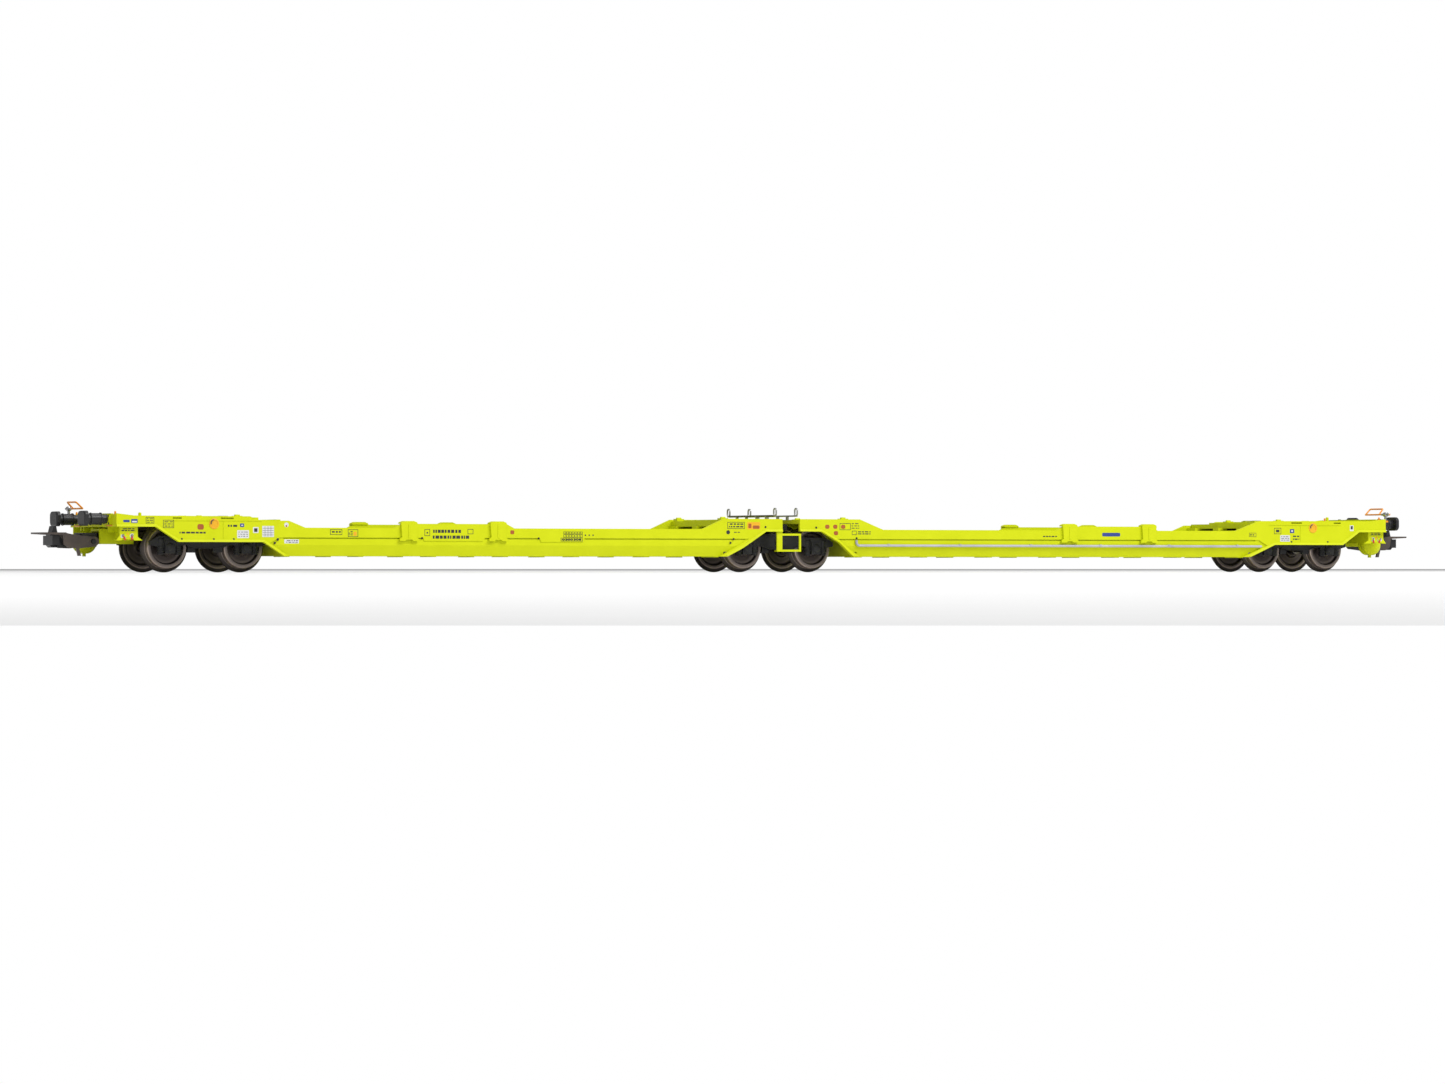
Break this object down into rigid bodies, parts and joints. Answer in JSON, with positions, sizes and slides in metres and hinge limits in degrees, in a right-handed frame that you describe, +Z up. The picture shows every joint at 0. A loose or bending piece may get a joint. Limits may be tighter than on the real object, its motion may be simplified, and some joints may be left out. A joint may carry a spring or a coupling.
{
  "type": "model railway articulated pocket wagon",
  "caption": "H0 articulated pocket wagon: two half wagons on a shared bogie, with swivelling bogies, rolling wheels, loop couplers and folding trestles.",
  "frame": {"origin": "on the wagon's centre line, under the middle of the articulation, at the wheel flange bottoms", "axes": "+X along the wagon towards half b, +Z up, +Y across"},
  "size_m": [0.409, 0.0342, 0.018],
  "materials": {
    "lime_body": "satin",
    "lime_trim": "satin",
    "orange_wire": "satin",
    "black_plastic": "satin",
    "bogie_black": "matte",
    "screw_steel": "satin",
    "silver_wire": "satin",
    "bronze_metal": "burnished",
    "pale_pipe": "satin",
    "axle_steel": "satin",
    "wheel_metal": "burnished"
  },
  "bodies": {
    "half_a": {"a_sill_near": "lime_body", "a_sill_far": "lime_body", "a_outer_deck": "lime_body", "a_inner_deck": "lime_body", "a_pocket_floor": "lime_body", "a_headstock": "lime_body", "a_brake_panels": "lime_trim", "a_air_drum": "lime_trim", "a_hand_rail": "orange_wire", "a_grapple_posts": "lime_trim", "a_spigots": "lime_trim", "a_buffer_sleeves": "black_plastic", "a_buffer_heads": "black_plastic", "a_coupler_pocket": "lime_body", "a_bogie_screw": "screw_steel", "a_hoop_bar": "silver_wire", "joint_tongue": "black_plastic", "joint_screw": "screw_steel", "centre_steps": "lime_trim"},
    "half_b": {"b_sill_near": "lime_body", "b_sill_far": "lime_body", "b_outer_deck": "lime_body", "b_inner_deck": "lime_body", "b_pocket_floor": "lime_body", "b_headstock": "lime_body", "b_brake_panels": "lime_trim", "b_air_drum": "lime_trim", "b_hand_rail": "orange_wire", "b_grapple_posts": "lime_trim", "b_spigots": "lime_trim", "b_buffer_sleeves": "black_plastic", "b_buffer_heads": "black_plastic", "b_coupler_pocket": "lime_body", "b_bogie_screw": "screw_steel", "b_hoop_bar": "silver_wire", "b_brake_pipe": "pale_pipe"},
    "trestle_a": {"a_trestle": "lime_trim"},
    "coupler_a": {"a_coupler_head": "black_plastic"},
    "bail_a": {"a_coupler_bail": "bronze_metal"},
    "trestle_b": {"b_trestle": "lime_trim"},
    "coupler_b": {"b_coupler_head": "black_plastic"},
    "bail_b": {"b_coupler_bail": "bronze_metal"},
    "bogie_a": {"bogie_a_frame": "bogie_black", "bogie_a_brake_gear": "bogie_black"},
    "bogie_a_wheelset_1": {"bogie_a_axle_1": "axle_steel", "bogie_a_wheels_1": "wheel_metal"},
    "bogie_a_wheelset_2": {"bogie_a_axle_2": "axle_steel", "bogie_a_wheels_2": "wheel_metal"},
    "bogie_mid": {"bogie_mid_frame": "bogie_black", "bogie_mid_brake_gear": "bogie_black"},
    "bogie_mid_wheelset_1": {"bogie_mid_axle_1": "axle_steel", "bogie_mid_wheels_1": "wheel_metal"},
    "bogie_mid_wheelset_2": {"bogie_mid_axle_2": "axle_steel", "bogie_mid_wheels_2": "wheel_metal"},
    "bogie_b": {"bogie_b_frame": "bogie_black", "bogie_b_brake_gear": "bogie_black"},
    "bogie_b_wheelset_1": {"bogie_b_axle_1": "axle_steel", "bogie_b_wheels_1": "wheel_metal"},
    "bogie_b_wheelset_2": {"bogie_b_axle_2": "axle_steel", "bogie_b_wheels_2": "wheel_metal"}
  },
  "joints": [
    {"name": "articulation", "type": "hinge", "parent": "half_a", "child": "half_b", "pos_m": [0, 0, 0.01205], "axis": [0, 0, 1], "range_deg": [-17, 17]},
    {"name": "trestle_fold_a", "type": "hinge", "parent": "half_a", "child": "trestle_a", "pos_m": [-0.1684, 0, 0.01367], "axis": [0, -1, 0], "range_deg": [0, 95]},
    {"name": "coupler_swing_a", "type": "hinge", "parent": "half_a", "child": "coupler_a", "pos_m": [-0.1826, 0, 0.00855], "axis": [0, 0, 1], "range_deg": [-12, 12]},
    {"name": "bail_lift_a", "type": "hinge", "parent": "coupler_a", "child": "bail_a", "pos_m": [-0.191, 0, 0.00775], "axis": [0, 1, 0], "range_deg": [0, 20]},
    {"name": "trestle_fold_b", "type": "hinge", "parent": "half_b", "child": "trestle_b", "pos_m": [0.1684, 0, 0.01367], "axis": [0, 1, 0], "range_deg": [0, 95]},
    {"name": "coupler_swing_b", "type": "hinge", "parent": "half_b", "child": "coupler_b", "pos_m": [0.1826, 0, 0.00855], "axis": [0, 0, 1], "range_deg": [-12, 12]},
    {"name": "bail_lift_b", "type": "hinge", "parent": "coupler_b", "child": "bail_b", "pos_m": [0.191, 0, 0.00775], "axis": [0, -1, 0], "range_deg": [0, 20]},
    {"name": "bogie_a_swivel", "type": "hinge", "parent": "half_a", "child": "bogie_a", "pos_m": [-0.1632, 0, 0.00905], "axis": [0, 0, 1], "range_deg": [-12, 12]},
    {"name": "bogie_a_wheelset_1_roll", "type": "hinge", "parent": "bogie_a", "child": "bogie_a_wheelset_1", "pos_m": [-0.1735, 0, 0.0063], "axis": [0, 1, 0], "continuous": true},
    {"name": "bogie_a_wheelset_2_roll", "type": "hinge", "parent": "bogie_a", "child": "bogie_a_wheelset_2", "pos_m": [-0.1529, 0, 0.0063], "axis": [0, 1, 0], "continuous": true},
    {"name": "bogie_mid_swivel", "type": "hinge", "parent": "half_a", "child": "bogie_mid", "pos_m": [0, 0, 0.00905], "axis": [0, 0, 1], "range_deg": [-12, 12]},
    {"name": "bogie_mid_wheelset_1_roll", "type": "hinge", "parent": "bogie_mid", "child": "bogie_mid_wheelset_1", "pos_m": [-0.0103, 0, 0.0063], "axis": [0, 1, 0], "continuous": true},
    {"name": "bogie_mid_wheelset_2_roll", "type": "hinge", "parent": "bogie_mid", "child": "bogie_mid_wheelset_2", "pos_m": [0.0103, 0, 0.0063], "axis": [0, 1, 0], "continuous": true},
    {"name": "bogie_b_swivel", "type": "hinge", "parent": "half_b", "child": "bogie_b", "pos_m": [0.1632, 0, 0.00905], "axis": [0, 0, 1], "range_deg": [-12, 12]},
    {"name": "bogie_b_wheelset_1_roll", "type": "hinge", "parent": "bogie_b", "child": "bogie_b_wheelset_1", "pos_m": [0.1529, 0, 0.0063], "axis": [0, 1, 0], "continuous": true},
    {"name": "bogie_b_wheelset_2_roll", "type": "hinge", "parent": "bogie_b", "child": "bogie_b_wheelset_2", "pos_m": [0.1735, 0, 0.0063], "axis": [0, 1, 0], "continuous": true}
  ]
}
